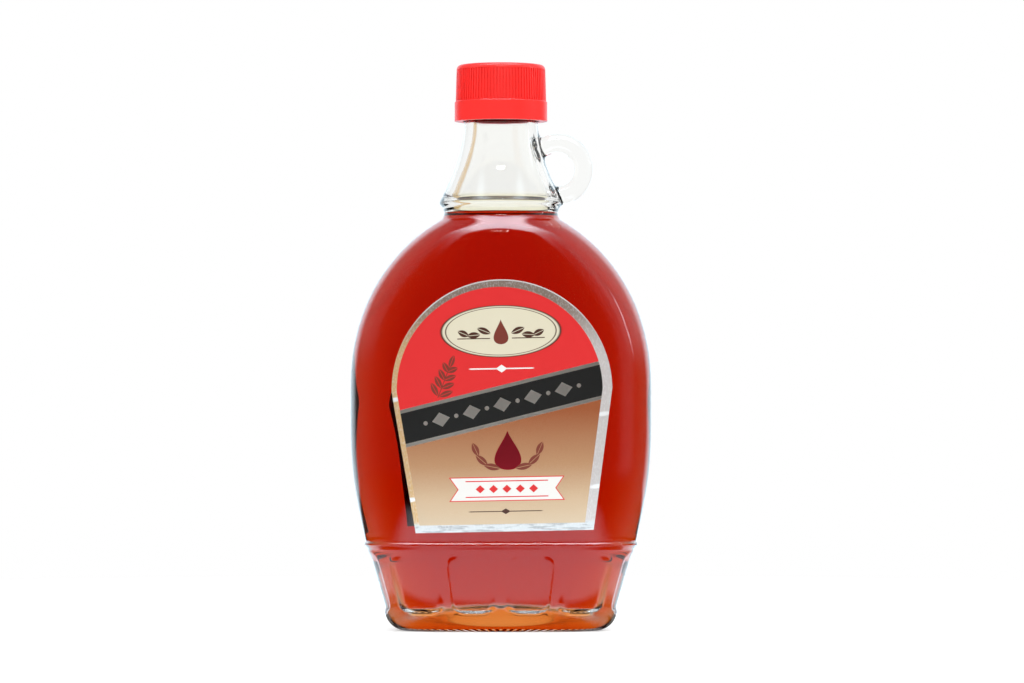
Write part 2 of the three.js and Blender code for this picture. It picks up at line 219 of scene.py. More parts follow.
def spread(material, value, low, high):
    node = addNode(material, "MapRange")
    feed(material, node.inputs[0], value)
    node.inputs["To Min"].default_value = low
    node.inputs["To Max"].default_value = high
    return node.outputs[0]


# masks for painting, 1 where the shape is

def above(material, value, edge=0.0, soft=0.06):
    # 1 where value is past the edge, 0 before it
    node = addNode(material, "MapRange", interpolation_type="SMOOTHSTEP")
    feed(material, node.inputs[0], value)
    node.inputs["From Min"].default_value = edge - soft
    node.inputs["From Max"].default_value = edge + soft
    return node.outputs[0]


def below(material, value, edge=1.0, soft=0.02):
    return maths(material, "SUBTRACT", 1.0, above(material, value, edge, soft))


def both(material, first, second):
    return maths(material, "MULTIPLY", first, second)


def either(material, first, *others):
    for other in others:
        first = maths(material, "MAXIMUM", first, other)
    return first


def turned(material, across, up, spot, degrees=0.0):
    # coordinates about a spot, turned anticlockwise
    dx = maths(material, "SUBTRACT", across, spot[0])
    dz = maths(material, "SUBTRACT", up, spot[1])
    if not degrees:
        return dx, dz
    c, s = math.cos(math.radians(degrees)), math.sin(math.radians(degrees))
    u = maths(material, "ADD", maths(material, "MULTIPLY", dx, c), maths(material, "MULTIPLY", dz, s))
    v = maths(material, "SUBTRACT", maths(material, "MULTIPLY", dz, c), maths(material, "MULTIPLY", dx, s))
    return u, v


def scaled(material, value, size):
    return maths(material, "ABSOLUTE", maths(material, "DIVIDE", value, size))


def square(material, value):
    return maths(material, "MULTIPLY", value, value)


def ovalSize(material, u, v, wide, high):
    # 1 on the oval's edge
    across = square(material, scaled(material, u, wide))
    up = square(material, scaled(material, v, high))
    return maths(material, "SQRT", maths(material, "ADD", across, up))


def diamondSize(material, u, v, wide, high):
    return maths(material, "ADD", scaled(material, u, wide), scaled(material, v, high))


def boxSize(material, u, v, wide, high):
    return maths(material, "MAXIMUM", scaled(material, u, wide), scaled(material, v, high))


def leafSize(material, u, v, long, wide):
    return maths(material, "ADD", square(material, scaled(material, u, long)), scaled(material, v, wide))


def leaf(material, u, v, spot, degrees, long, wide):
    a, b = turned(material, u, v, spot, degrees)
    whole = below(material, leafSize(material, a, b, long, wide), 1.0, 0.03)
    rib = above(material, maths(material, "ABSOLUTE", b), 0.09, 0.05)
    return both(material, whole, rib)


def drop(material, u, v, tall, half):
    # a falling drop whose tip is at the top, about its middle
    down = maths(material, "DIVIDE", maths(material, "SUBTRACT", tall / 2, v), tall)
    share = maths(material, "MINIMUM", maths(material, "MAXIMUM", down, 0.0), 1.0)
    cube = maths(material, "POWER", share, 3.0)
    room = maths(material, "MULTIPLY", cube, maths(material, "SUBTRACT", 1.0, share))
    limit = maths(material, "MULTIPLY", maths(material, "SQRT", room), half * math.sqrt(256 / 27))
    return above(material, maths(material, "SUBTRACT", limit, maths(material, "ABSOLUTE", u)), 0.07, 0.06)


def hoop(material, size, low, high, soft=0.01):
    return both(material, above(material, size, low, soft), below(material, size, high, soft))


def repeated(material, value, pitch):
    # the distance from the nearest of many places a pitch apart
    number = maths(material, "ROUND", maths(material, "DIVIDE", value, pitch))
    return maths(material, "SUBTRACT", value, maths(material, "MULTIPLY", number, pitch))


# the flask's form in mm: control points of each stretch as (width, depth, height), then its steps

flask = {
    "square": 5.0,            # the body's oval has flat faces and round ends, where 2 is a plain oval
    "squareFrom": 95.0,       # between these heights it turns into the neck's circle
    "squareTo": 137.2,
    "around": 440,            # points round the outside
    "anglesInside": [k * 2.25 for k in range(160)],
    "sag": 4.5,               # how much lower the floor inside lies at the two ends
    "sagReach": 36.0,
    "sagFade": (8.0, 13.0),
    "outside": [
        ([(2, 0.6, 1.0), (34, 9, 1.0), (52, 13, 0.7)], 5),
        ([(52, 13, 0.7), (56.5, 16.5, 0.4), (58, 18, 0)], 3),
        ([(58, 18, 0), (63, 22, 0)], 3),
        ([(63, 22, 0), (72, 30.5, 0), (76.6, 35, 3.2), (78.2, 36.53, 6.4)], 18),
        ([(78.2, 36.53, 6.4), (79.25, 37.19, 8.4)], 10),
        ([(79.25, 37.19, 8.4), (88.96, 43.37, 27.1)], 27),
        ([(88.96, 43.37, 27.1), (89.1, 43.5, 27.35), (91, 44.85, 28.5), (91.2, 45, 28.75)], 8),
        ([(91.2, 45, 28.75), (91.4, 45.15, 29.4), (90.6, 44.25, 29.45), (90.3, 44, 29.9)], 6),
        ([(90.3, 44, 29.9), (90.75, 44.19, 30.9)], 3),
        ([(90.75, 44.19, 30.9), (96.4, 46.6, 44), (100.5, 48, 52), (100.5, 48, 70)], 12),
        ([(100.5, 48, 70), (100.5, 48, 82)], 3),
        ([(100.5, 48, 82), (100.5, 48, 99.3), (89, 48, 113.5), (71.8, 48, 123.8)], 14),
        ([(71.8, 48, 123.8), (66.7, 48, 126.9), (61.1, 48, 129.6), (55.2, 46.8, 132)], 8),
        ([(55.2, 46.8, 132), (50.3, 45.8, 134), (45.2, 41.6, 135.7), (39.9, 39.6, 137.2)], 10),
        ([(39.9, 39.6, 137.2), (38, 38, 138.3), (38, 38, 139.3)], 7),
        ([(38, 38, 139.3), (38.2, 38.2, 141.2), (40.4, 40.4, 142)], 6),
        ([(40.4, 40.4, 142), (41.6, 41.6, 142.8), (40.4, 40.4, 143.6)], 6),
        ([(40.4, 40.4, 143.6), (34.1, 34.1, 150.2), (24.8, 24.8, 159.6), (24.8, 24.8, 169)], 18),
        ([(24.8, 24.8, 169), (24.8, 24.8, 171.2)], 2),
        ([(24.8, 24.8, 171.2), (27.2, 27.2, 171.6), (27.2, 27.2, 172.4)], 3),
        ([(27.2, 27.2, 172.4), (27.2, 27.2, 186.2)], 3),
        ([(27.2, 27.2, 186.2), (27.2, 27.2, 187), (25.6, 25.6, 187)], 4),
    ],
    "inside": [
        ([(2, 0.6, 3.4), (43, 6, 3.4), (53, 8.6, 5)], 6),
        ([(53, 8.6, 5), (57, 10.4, 6.2), (59, 12.4, 8)], 5),
        ([(59, 12.4, 8), (62, 19, 9.3), (66, 28.5, 8.6), (69, 31.3, 11.5)], 9),
        ([(69, 31.3, 11.5), (80, 37.6, 30)], 5),
        ([(80, 37.6, 30), (87.7, 40.1, 44), (93.7, 41.2, 52), (93.7, 41.2, 70)], 12),
        ([(93.7, 41.2, 70), (93.7, 41.2, 82)], 2),
        ([(93.7, 41.2, 82), (93.7, 41.2, 99.3), (82.2, 41.2, 112.6), (65, 41.2, 122.4)], 12),
        ([(65, 41.2, 122.4), (59.9, 41.2, 125.4), (54.3, 41.2, 128.1), (48.4, 40, 130.5)], 7),
        ([(48.4, 40, 130.5), (43.5, 39, 132.5), (38.8, 35.2, 134.2), (33.9, 33.6, 135.7)], 9),
        ([(33.9, 33.6, 135.7), (32, 32, 137.5), (32, 32, 139.3)], 6),
        ([(32, 32, 139.3), (32, 32, 141.4), (32.8, 32.8, 143.6)], 4),
        ([(32.8, 32.8, 143.6), (28.1, 28.1, 150.2), (18.8, 18.8, 159.6), (18.8, 18.8, 169)], 14),
        ([(18.8, 18.8, 169), (18.8, 18.8, 186)], 4),
    ],
}


def squareAt(height):
    return mix(flask["square"], 2.0, smoothStep(flask["squareFrom"], flask["squareTo"], height))


def ringsOf(stretches, grow=0.0):
    # (half width, half depth, height) from the first control point to the last
    rings = []
    for points, steps in stretches:
        for step in range(1 if rings else 0, steps + 1):
            wide, deep, high = curvePoint(points, step / steps)
            rings.append((wide / 2 + grow, deep / 2 + grow, high))
    return rings


def ovalPoint(angle, ring):
    # a place on the section, whose reach in this direction is found by halving
    halfWide, halfDeep, high = ring
    power = squareAt(high)
    c, s = math.cos(angle), math.sin(angle)
    low, top = 1.0, 1.5
    for _ in range(24):
        reach = (low + top) / 2
        if abs(reach * c) ** power + (reach * s) ** 2 > 1:
            top = reach
        else:
            low = reach
    return halfWide * reach * c * mm, halfDeep * reach * s * mm, high * mm


def crowdedAngles(around, crowded, reach, times):
    # angles all round, closer together near those in the list, all in degrees
    fine = 3600
    share = [times if min(abs(k * 360 / fine - a) for a in crowded) < reach else 1 for k in range(fine)]
    total, passed, angles = sum(share), 0.0, []
    for k in range(fine):
        while len(angles) < around and passed + share[k] > len(angles) * total / around:
            angles.append((k + (len(angles) * total / around - passed) / share[k]) * 360 / fine)
        passed += share[k]
    return angles


def loft(name, rings, angles):
    # a ring of edges, extruded from one section to the next, with both ends filled
    deselect()
    bpy.ops.mesh.primitive_circle_add(vertices=len(angles), radius=1, fill_type="NOTHING")
    piece = named(name)
    for vert, angle in zip(piece.data.vertices, angles):
        vert.co = (math.cos(math.radians(angle)), math.sin(math.radians(angle)), 0)
    bpy.ops.object.mode_set(mode="EDIT")
    bpy.ops.mesh.select_mode(type="EDGE")
    bpy.ops.mesh.select_all(action="SELECT")
    last = (1.0, 1.0)
    for number, ring in enumerate(rings):
        if number:
            bpy.ops.mesh.extrude_edges_move()
        mesh = bmesh.from_edit_mesh(piece.data)
        for vert in mesh.verts:
            if vert.select:
                angle = math.atan2(vert.co.y / last[1], vert.co.x / last[0])
                vert.co = ovalPoint(angle, ring)
        last = ring
        bmesh.update_edit_mesh(piece.data)
    selectInEdit(piece, "edges", lambda edge: edge.is_boundary)
    bpy.ops.mesh.edge_face_add()
    bpy.ops.mesh.select_all(action="SELECT")
    bpy.ops.mesh.normals_make_consistent(inside=False)
    bpy.ops.object.mode_set(mode="OBJECT")
    return piece


def lowerCorners(piece):
    # the floor inside lies lower towards the two ends
    for vert in piece.data.vertices:
        share = min(abs(vert.co.x / mm) / flask["sagReach"], 1.0) ** 2
        share *= 1 - smoothStep(*flask["sagFade"], vert.co.z / mm)
        vert.co.z -= flask["sag"] * share * mm


outsideRings = ringsOf(flask["outside"])


def ringAt(high):
    # the outside's half width and half depth at a height in mm, above the base
    for low, top in zip(outsideRings, outsideRings[1:]):
        if low[2] <= high <= top[2] and top[2] > low[2]:
            share = (high - low[2]) / (top[2] - low[2])
            return mix(low[0], top[0], share), mix(low[1], top[1], share)
    return outsideRings[-1][:2]


def frontReach(across, high):
    # half depth of the outside at a place on its front, in mm
    halfWide, halfDeep = ringAt(high)
    power = squareAt(high)
    return halfDeep * math.sqrt(1 - min(abs(across) / halfWide, 1.0) ** power)


# flutes pressed into the foot, and the stippled ring that the flask stands on

flutes = {
    "depthIn": 1.1,           # each flute sinks deeper on the side away from the middle
    "depthOut": 1.6,
    "shallow": 0.5,           # share of that depth left at the top
    "depthSide": 0.9,
    "bottom": 6.8,
    "top": 25.2,
    "middles": (-29.4, -10.2, 10.2, 29.4),
    "width": 15.4,
    "sideWidth": 22.0,
    "sideFrom": 38.6,         # the side flute takes over this far out
    "corner": 3.2,
    "edgeIn": 1.0,            # how gradual the upright edges are, towards the middle and away from it
    "edgeOut": 0.46,
    "edgeCorner": 0.95,       # the outer edge of the outermost flutes
    "edgeRear": 1.6,          # all upright edges of the rear flutes
    "edgeAngles": (42.6, 67.9),
    "edgeReach": 1.3,         # degrees to each side where the mesh is finer, this many times
    "edgeTimes": 4,
    "edgeTop": 2.2,
    "edgeLip": 0.55,
    "edgeLipOuter": 1.0,
    "footLow": 6.0,
    "footHigh": 26.6,
    "lean": 78 / 88.7,        # the foot's width below over its width above
}
stipple = {"count": 104, "height": 0.5, "below": 0.75, "soft": 0.3, "wide": 31.5, "deep": 11.0}


def fluteDepth(x, y, z):
    low, top = flutes["bottom"], flutes["top"]
    scale = mix(flutes["lean"], 1.0, (z - flutes["footLow"]) / (flutes["footHigh"] - flutes["footLow"]))
    across = x / scale
    if abs(across) > flutes["sideFrom"]:
        place, half, depth, edge = y / scale, flutes["sideWidth"] / 2, flutes["depthSide"], flutes["edgeIn"]
        lipEdge = flutes["edgeLipOuter"]
    else:
        middle = min(flutes["middles"], key=lambda spot: abs(across - spot))
        place, half = across - middle, flutes["width"] / 2
        outward = min(max(place / half * math.copysign(1, middle), -1.0), 1.0)
        depth = mix(flutes["depthIn"], flutes["depthOut"], (outward + 1) / 2)
        inner = abs(middle) < flutes["width"]
        edge = flutes["edgeIn"]
        if outward > 0:
            edge = flutes["edgeOut"] if inner else flutes["edgeCorner"]
        if y > 0:
            edge = flutes["edgeRear"]
        lipEdge = flutes["edgeLip"] if inner else flutes["edgeLipOuter"]
    # round corners narrow the flute near its ends
    over = max(abs(z - (low + top) / 2) - (top - low) / 2 + flutes["corner"], 0.0)
    half -= flutes["corner"] - math.sqrt(max(flutes["corner"] ** 2 - over ** 2, 0.0))
    upright = min(max((half - abs(place)) / edge / 2 + 0.5, 0.0), 1.0)
    depth *= mix(1.0, flutes["shallow"], min(max((z - low) / (top - low), 0.0), 1.0))
    lip = min(max((z - low) / lipEdge / 2 + 0.5, 0.0), 1.0)
    brow = 1 - smoothStep(top - flutes["edgeTop"], top + flutes["edgeTop"], z)
    return depth * upright * lip * brow


def pressFoot(piece):
    for vert in piece.data.vertices:
        x, y, z = (value / mm for value in vert.co)
        if flutes["bottom"] - 2 < z < flutes["top"] + 2:
            # sunk straight in from the section's edge
            sunk = fluteDepth(x, y, z)
            halfWide, halfDeep = ringAt(z)
            power = flask["square"]
            nx = math.copysign(power * abs(x / halfWide) ** (power - 1) / halfWide, x)
            ny = 2 * y / halfDeep ** 2
            size = math.hypot(nx, ny)
            vert.co.x -= sunk * nx / size * mm
            vert.co.y -= sunk * ny / size * mm


# ring handle, fused to the neck with a small fillet

handle = {
    "ring": 8.8,              # radius of the centre line
    "thick": 6.5,
    "deep": 7.0,
    "reach": 18.8,
    "high": 154.0,
    "fillet": 1.7,
    "filletFrom": 130.0,
    "filletTo": 170.0,
    "softening": 14,
    "segments": (96, 32),
}


def addHandle(piece):
    along, around = handle["segments"]
    deselect()
    bpy.ops.mesh.primitive_torus_add(
        location=(handle["reach"] * mm, 0, handle["high"] * mm),
        rotation=(math.pi / 2, 0, 0),
        major_segments=along,
        minor_segments=around,
        major_radius=handle["ring"] * mm,
        minor_radius=handle["thick"] / 2 * mm,
    )
    ring = named("ringHandle")
    applyPlace(ring)
    bpy.ops.object.mode_set(mode="EDIT")
    bpy.ops.mesh.select_all(action="SELECT")
    bpy.ops.transform.resize(value=(1, handle["deep"] / handle["thick"], 1))
    bpy.ops.object.mode_set(mode="OBJECT")
    applyModifier(piece, "BOOLEAN", operation="UNION", solver="EXACT", object=ring)
    bpy.data.objects.remove(ring)
    # the fillet: what lies near both the ring and the neck is smoothed
    near = handle["fillet"]

    def inJoint(vert):
        x, y, z = (value / mm for value in vert.co)
        across = math.hypot(x - handle["reach"], z - handle["high"]) - handle["ring"]
        offRing = abs(math.hypot(across, y * handle["thick"] / handle["deep"]) - handle["thick"] / 2)
        if x < 0 or offRing > near or not handle["filletFrom"] < z < handle["filletTo"]:
            return False
        return abs(math.hypot(x, y) - ringAt(z)[0]) < near

    pick(piece)
    bpy.ops.object.mode_set(mode="EDIT")
    selectInEdit(piece, "verts", inJoint)
    bpy.ops.mesh.vertices_smooth(factor=0.5, repeat=handle["softening"])
    bpy.ops.object.mode_set(mode="OBJECT")


def openMouth(piece):
    # takes off the lid that closed the loft at the mouth
    pick(piece)
    bpy.ops.object.mode_set(mode="EDIT")
    top = max(vert.co.z for vert in piece.data.vertices)
    selectInEdit(
        piece,
        "faces",
        lambda face: len(face.verts) > 40 and face.calc_center_median().z > top - 0.5 * mm,
    )
    bpy.ops.mesh.delete(type="ONLY_FACE")
    bpy.ops.object.mode_set(mode="OBJECT")


def makeGlass():
    edges = []
    for edge in flutes["edgeAngles"]:
        for turn in (0, 180, 360):
            edges += [turn - edge, turn + edge]
    angles = crowdedAngles(flask["around"], edges, flutes["edgeReach"], flutes["edgeTimes"])
    glass = loft("bottleGlass", outsideRings, angles)
    pressFoot(glass)
    addHandle(glass)
    room = loft("bottleRoom", ringsOf(flask["inside"]), flask["anglesInside"])
    lowerCorners(room)
    finishes = [clearGlass(), wetGlass(), filmGlass()]
    for piece in (glass, room):
        piece.data.materials.clear()
        for finish in finishes:
            piece.data.materials.append(finish)
    for face in room.data.polygons:
        face.material_index = 1 if face.center.z < syrup["level"] * mm else 2
    openMouth(glass)
    openMouth(room)
    pick(glass, room)
    bpy.ops.object.join()
    bpy.ops.object.mode_set(mode="EDIT")
    selectInEdit(glass, "edges", lambda edge: edge.is_boundary)
    bpy.ops.mesh.bridge_edge_loops()
    bpy.ops.mesh.select_all(action="SELECT")
    bpy.ops.mesh.normals_make_consistent(inside=False)
    bpy.ops.object.mode_set(mode="OBJECT")
    shadeSmooth(glass)
    return glass


def clearGlass():
    material, shader = seeThrough("clearGlass", (0.985, 0.99, 0.975), 1.5)
    ripple = maths(material, "MULTIPLY", objectNoise(material, 45, 1.0), 0.24)
    x, y, z = objectPlace(material)
    across = maths(material, "DIVIDE", x, stipple["wide"])
    back = maths(material, "DIVIDE", y, stipple["deep"])
    bearing = maths(material, "ARCTAN2", back, across)
    knobs = maths(material, "COSINE", maths(material, "MULTIPLY", bearing, stipple["count"]))
    knobs = both(material, knobs, below(material, z, stipple["below"], stipple["soft"]))
    height = maths(material, "ADD", ripple, maths(material, "MULTIPLY", knobs, stipple["height"]))
    addBump(material, shader, height, 1.0, 0.001)
    wipe = objectNoise(material, 260, 3.0, (1.0, 1.0, 0.4))
    feed(material, shader.inputs["Roughness"], spread(material, wipe, 0.0, 0.03))
    return material


def wetGlass():
    # the inner wall behind the syrup, which has next to no shine of its own
    material, shader = seeThrough("wetGlass", (1.0, 0.99, 0.97), 1.5)
    shader.inputs["Specular Tint"].default_value = (0, 0, 0, 1)
    ripple = objectNoise(material, 45, 1.0)
    addBump(material, shader, ripple, 0.06, 0.004)
    return material


film = {
    "clear": (0.985, 0.985, 0.965),
    "pale": (0.93, 0.88, 0.62),
    "amber": (0.52, 0.24, 0.05),
    "side": 0.97,             # how far round to the left the run begins
    "soft": 0.035,
    "wander": 0.06,
    "high": 143.4,
    "fade": 3.4,
}


def filmGlass():
    # the inner wall above the syrup, with a film of it left where it was poured
    material, shader = seeThrough("filmGlass", film["clear"], 1.5)
    x, y, z = objectPlace(material)
    radius = maths(material, "SQRT", maths(material, "ADD", square(material, x), square(material, y)))
    side = maths(material, "DIVIDE", maths(material, "MULTIPLY", x, -1.0), radius)
    wander = maths(material, "MULTIPLY", objectNoise(material, 120, 2.0, (1, 1, 0.3)), film["wander"])
    run = above(material, maths(material, "ADD", side, wander), film["side"], film["soft"])
    low = below(material, z, film["high"], film["fade"])
    tone = colourMix(material, low, film["clear"], film["pale"])
    tone = colourMix(material, run, tone, film["amber"])
    feed(material, shader.inputs["Base Color"], tone)
    ripple = objectNoise(material, 160, 1.0, (1, 1, 0.4))
    addBump(material, shader, ripple, 0.1, 0.001)
    return material


# syrup, reaching just into the glass, with a meniscus at the wall

syrup = {
    "level": 139.3,
    "intoWall": 0.04,
    "meniscus": [(0.0, 0.5), (0.25, 0.22), (0.7, 0.07), (1.5, 0.0)],  # in from the wall, above the level
    "middle": [9.0, 4.0, 1.0],         # rings across the flat top
    "density": 270.0,
    "tint": (0.918, 0.516, 0.0),
}


def makeSyrup():
    rings = [ring for ring in ringsOf(flask["inside"], syrup["intoWall"]) if ring[2] <= syrup["level"]]
    wall = rings[-1][0]
    for inward, rise in syrup["meniscus"]:
        rings.append((wall - inward, wall - inward, syrup["level"] + rise))
    rings += [(reach, reach, syrup["level"]) for reach in syrup["middle"]]
    piece = loft("syrupFill", rings, flask["anglesInside"])
    lowerCorners(piece)
    shadeSmooth(piece)
    return piece


def amberSyrup():
    material, shader = seeThrough("amberSyrup", (1.0, 0.97, 0.92), 1.46)
    shader.inputs["Specular Tint"].default_value = (0, 0, 0, 1)
    soak = addNode(material, "VolumeAbsorption")
    soak.inputs["Color"].default_value = (*syrup["tint"], 1)
    soak.inputs["Density"].default_value = syrup["density"]
    output = material.node_tree.nodes["Material Output"]
    feed(material, output.inputs["Volume"], soak.outputs["Volume"])
    return material


bottleGlass = makeGlass()
mount(bottleGlass, "clear_glass", "bottle_glass")
print("glass:", len(bottleGlass.data.polygons), "faces")

syrupFill = makeSyrup()
dress(syrupFill, amberSyrup(), "amber_syrup", "syrup")
print("syrup:", len(syrupFill.data.polygons), "faces")


# screw cap: plain band below, fine ribs above, hollow underneath

cap = {
    "bottom": 170.1,
    "bandRadius": 15.5,
    "bandTop": 176.5,
    "ledge": 0.35,            # how far the ribs stand in from the band
    "ledgeEdge": 0.08,
    "ledgeHigh": 0.28,
    "ribs": 90,
    "ribDepth": 0.32,
    "ribTop": 187.4,
    "top": 189.0,
    "ribRadiusTop": 14.85,
    "ribInside": 14.5,        # faces nearer the middle than this aren't ribs
    "wall": 1.4,
    "lip": 2.7,               # the band turns in under the neck's collar
    "lipHigh": 0.8,
    "lipSlope": 0.3,
    "topWall": 1.6,
    "topRim": 3.2,            # the top is sunk a little inside this rim
    "topSlope": 0.5,
    "topSunk": 0.12,
    "roundSteps": 5,
    "stripsPerRib": 4,
}


def pullOut(rise):
    bpy.ops.mesh.extrude_region_move(TRANSFORM_OT_translate={"value": (0, 0, rise * mm)})


def resizeAbout(high, size):
    bpy.ops.transform.resize(value=(size, size, 1), center_override=(0, 0, high * mm))


def makeCap():
    strips = cap["ribs"] * cap["stripsPerRib"]
    bandHigh = cap["bandTop"] - cap["bottom"]
    deselect()
    bpy.ops.mesh.primitive_cylinder_add(
        vertices=strips,
        radius=cap["bandRadius"] * mm,
        depth=bandHigh * mm,
        location=(0, 0, (cap["bottom"] + bandHigh / 2) * mm),
        end_fill_type="NGON",
    )
    piece = named("screwCap")
    applyPlace(piece)
    bpy.ops.object.mode_set(mode="EDIT")

    def lid(face):
        return len(face.verts) > 100 and face.normal.z > 0.9

    def floor(face):
        return len(face.verts) > 100 and face.normal.z < -0.9

    # hollow underneath
    selectInEdit(piece, "faces", floor)
    bpy.ops.mesh.inset(thickness=cap["lip"] * mm)
    pullOut(cap["lipHigh"])
    pullOut(cap["lipSlope"])
    resizeAbout(cap["bottom"], (cap["bandRadius"] - cap["wall"]) / (cap["bandRadius"] - cap["lip"]))
    pullOut(cap["top"] - cap["topWall"] - cap["bottom"] - cap["lipHigh"] - cap["lipSlope"])
    # ledge, ribbed side and rounded top edge
    selectInEdit(piece, "faces", lid)
    ribFoot = cap["bandRadius"] - cap["ledge"]
    bpy.ops.mesh.inset(thickness=cap["ledgeEdge"] * mm)
    pullOut(cap["ledgeHigh"])
    resizeAbout(cap["bandTop"], ribFoot / (cap["bandRadius"] - cap["ledgeEdge"]))
    pullOut(cap["ribTop"] - cap["bandTop"] - cap["ledgeHigh"])
    resizeAbout(cap["bandTop"], cap["ribRadiusTop"] / ribFoot)
    rounding = cap["top"] - cap["ribTop"]
    reach = cap["ribRadiusTop"]
    before = 0.0
    for step in range(1, cap["roundSteps"] + 1):
        turn = math.pi / 2 * step / cap["roundSteps"]
        pullOut(rounding * (math.sin(turn) - math.sin(before)))
        newReach = cap["ribRadiusTop"] - rounding * (1 - math.cos(turn))
        resizeAbout(cap["bandTop"], newReach / reach)
        reach, before = newReach, turn
    bpy.ops.mesh.inset(thickness=cap["topRim"] * mm)
    bpy.ops.mesh.inset(thickness=cap["topSlope"] * mm, depth=-cap["topSunk"] * mm)

    def groove(face):
        # two strips of every four are sunk between two ribs
        centre = face.calc_center_median()
        out = math.hypot(centre.x, centre.y) / mm
        if not cap["bandTop"] + cap["ledgeHigh"] < centre.z / mm < cap["ribTop"]:
            return False
        if len(face.verts) != 4 or out < cap["ribInside"]:
            return False
        strip = math.atan2(centre.y, centre.x) / (2 * math.pi) * strips
        return math.floor(strip) % cap["stripsPerRib"] < 2

    selectInEdit(piece, "faces", groove)
    bpy.ops.mesh.extrude_region_shrink_fatten(
        TRANSFORM_OT_shrink_fatten={"value": -cap["ribDepth"] * mm}
    )
    bpy.ops.object.mode_set(mode="OBJECT")
    shadeSmooth(piece, 35)
    return piece


def redPlastic():
    material, shader = newMaterial("redPlastic")
    cloud = objectNoise(material, 90, 2.0)
    tone = colourMix(material, cloud, (0.85, 0.021, 0.017), (0.91, 0.027, 0.023))
    feed(material, shader.inputs["Base Color"], tone)
    grain = objectNoise(material, 1800, 2.0)
    feed(material, shader.inputs["Roughness"], spread(material, grain, 0.3, 0.42))
    addBump(material, shader, grain, 0.08, 0.0004)
    return material


screwCap = makeCap()
dress(screwCap, redPlastic(), "red_plastic", "screw_cap")
print("cap:", len(screwCap.data.polygons), "faces")


# labels: an arched foil sheet wrapped on the glass, with the print laid on it

label = {
    "radius": 36.4,
    "archHigh": 80.2,
    "bottom": 33.5,
    "bottomWidth": 58.7,
    "shift": 0.4,
    "tilt": 1.1,              # degrees, right side up
    "border": 2.45,
    "borderBottom": 2.5,
    "printAside": 0.75,       # the print sits a little to the left of the cut
    "gap": 0.03,
    "thick": 0.12,
    "sideRows": 64,
    "archRows": 72,
    "columns": 96,
    "archEnd": 89.0,
}
backLabel = dict(
    label,
    radius=31.5,
    archHigh=75.0,
    bottom=36.0,
    bottomWidth=54.6,
    shift=0.9,
    tilt=0.0,
    printAside=0.0,
)


def labelPlace(form, u, row):
    # u runs from -1 to 1 across, row from the bottom to the crown
    if row < form["sideRows"]:
        share = row / form["sideRows"]
        high = mix(form["bottom"], form["archHigh"], share)
        reach = mix(form["bottomWidth"] / 2, form["radius"], share)
    else:
        turn = math.radians(form["archEnd"]) * (row - form["sideRows"]) / form["archRows"]
        high = form["archHigh"] + form["radius"] * math.sin(turn)
        reach = form["radius"] * math.cos(turn)
    return reach * u, high


def tilted(form, across, high):
    turn = math.radians(form["tilt"])
    up = high - form["archHigh"]
    x = across * math.cos(turn) - up * math.sin(turn)
    z = across * math.sin(turn) + up * math.cos(turn)
    return x + form["shift"], z + form["archHigh"]


def wrapped(form, across, high, lift):
    x, z = tilted(form, across, high)
    return x * mm, -(frontReach(x, z) + lift) * mm, z * mm


def makeLabel(name, form, *finishes):
    # the first finish is for the face and the second for the back
    rows = form["sideRows"] + form["archRows"]
    deselect()
    bpy.ops.mesh.primitive_grid_add(x_subdivisions=form["columns"], y_subdivisions=rows, size=2)
    piece = named(name)
    for vert in piece.data.vertices:
        row = round((vert.co.y + 1) / 2 * rows)
        across, high = labelPlace(form, vert.co.x, row)
        vert.co = wrapped(form, across, high, form["gap"] + form["thick"])
    bpy.ops.object.mode_set(mode="EDIT")
    bpy.ops.mesh.select_all(action="SELECT")
    mesh = bmesh.from_edit_mesh(piece.data)
    mesh.faces.ensure_lookup_table()
    if mesh.faces[0].normal.y > 0:
        bpy.ops.mesh.flip_normals()
    bpy.ops.object.mode_set(mode="OBJECT")
    for finish in finishes:
        piece.data.materials.append(finish)
    applyModifier(piece, "SOLIDIFY", thickness=form["thick"] * mm, offset=-1.0, material_offset=1)
    shadeSmooth(piece, 40)
    return piece


def turnToBack(piece):
    pick(piece)
    piece.rotation_euler.z = math.pi
    applyPlace(piece)


# colours of the print
ink = {
    "red": (0.62, 0.017, 0.018),
    "black": (0.010, 0.009, 0.008),
    "cream": (0.62, 0.58, 0.44),
    "brown": (0.06, 0.018, 0.010),
    "white": (0.72, 0.72, 0.70),
    "silver": (0.95, 0.79, 0.67),
    "foilRed": (0.60, 0.03, 0.045),
    "leaf": (0.17, 0.030, 0.018),
}
stripe = {"high": 75.4, "slope": 0.227, "half": 5.2, "piping": 1.15, "pitch": 10.4, "reach": 28.0}
paper = [(0.3, (0.58, 0.54, 0.41)), (0.7, (0.64, 0.60, 0.47))]
tan = [  # share of the way up from the bottom of the field, colour
    (0.0, (0.60, 0.50, 0.36)),
    (0.25, (0.54, 0.40, 0.26)),
    (0.55, (0.40, 0.22, 0.11)),
    (1.0, (0.27, 0.072, 0.021)),
]
# painted reflections on the bare foil: the crown is dark and the foot pale for what they mirror, the left
# tan and the right grey; the crinkles are painted shade, and the creases and cut edge painted highlights
foil = {  # the bare border: tan on the left, grey on the right, dark at the crown and pale at the foot
    "left": (0.72, 0.47, 0.23),
    "right": (0.68, 0.63, 0.61),
    "crown": (0.28, 0.21, 0.17),
    "foot": (0.74, 0.76, 0.77),
    "crinkleShade": (0.30, 0.31, 0.33),
    "crownFrom": (100.0, 10.0),
    "footTo": (36.6, 0.8),
    "creaseGlints": [(-35.5, 77.6), (-30.8, 44.5), (33.4, 71.7), (30.7, 47.9)],
    "cutEdgeHighlight": 0.4,
    "shine": 0.45,
}
